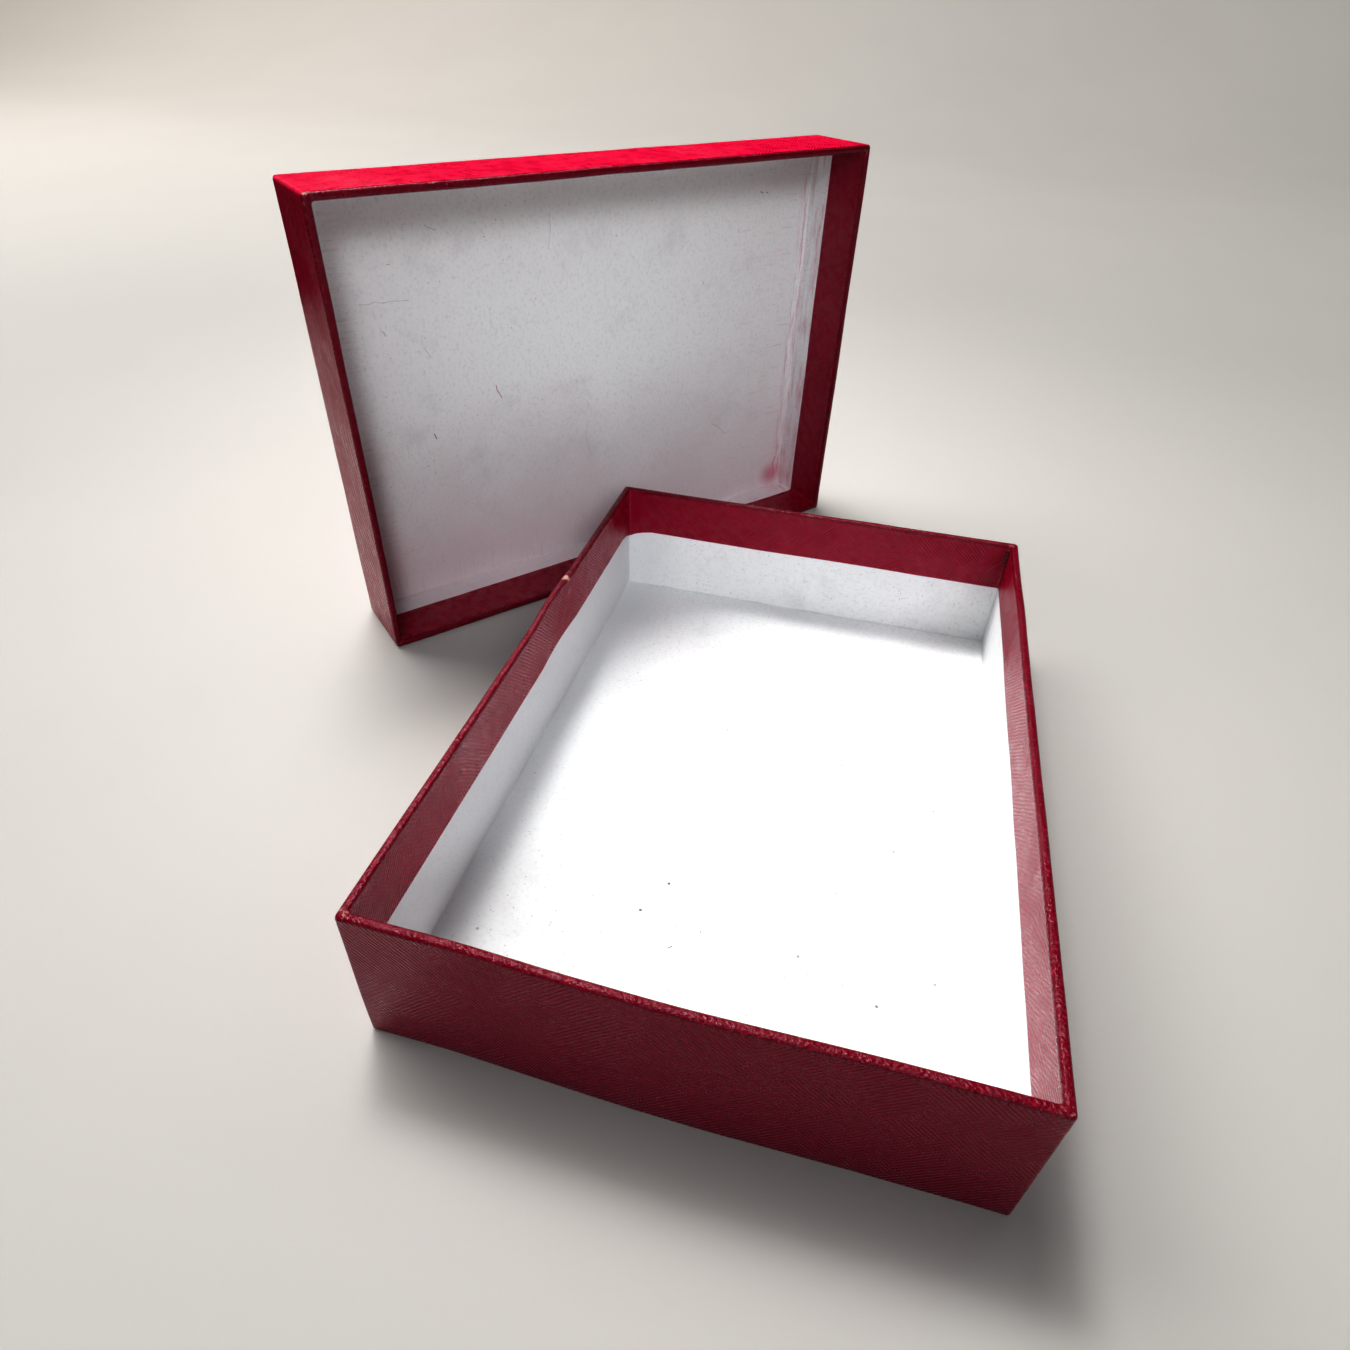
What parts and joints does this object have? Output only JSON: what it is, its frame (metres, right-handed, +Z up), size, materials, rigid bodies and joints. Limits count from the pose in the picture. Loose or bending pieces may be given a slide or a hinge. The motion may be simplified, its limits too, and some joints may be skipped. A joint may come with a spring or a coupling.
{
  "type": "gift box",
  "caption": "Rigid rectangular gift box: an open tray covered in red leatherette paper with a white inside, and its lift-off lid standing on edge behind it.",
  "frame": {"origin": "centre of the tray's bottom face, on the surface the box stands on", "axes": "+Z up out of the tray's open side, +Y along the tray's long side towards its back wall, +X towards its right wall; the lid stands on a long wall behind the back left corner"},
  "size_m": [0.2123, 0.2801, 0.1372],
  "materials": {
    "board": "white-lined board, matt with faint fibres",
    "paper": "crimson leatherette paper, fine grain, glossy film",
    "tape": "brown gummed paper tape, matt"
  },
  "bodies": {
    "tray": {"tray_board": "board", "tray_wrap": "paper", "tray_stay_front_left": "tape", "tray_stay_front_right": "tape", "tray_stay_back_left": "tape", "tray_stay_back_right": "tape"},
    "lid": {"lid_board": "board", "lid_wrap": "paper", "lid_stay_front_left": "tape", "lid_stay_front_right": "tape", "lid_stay_back_left": "tape", "lid_stay_back_right": "tape"}
  },
  "joints": [
    {"name": "lid_lift", "type": "slide", "parent": "tray", "child": "lid", "axis": [0, 0, 1], "range_m": [0, 0.06]}
  ]
}
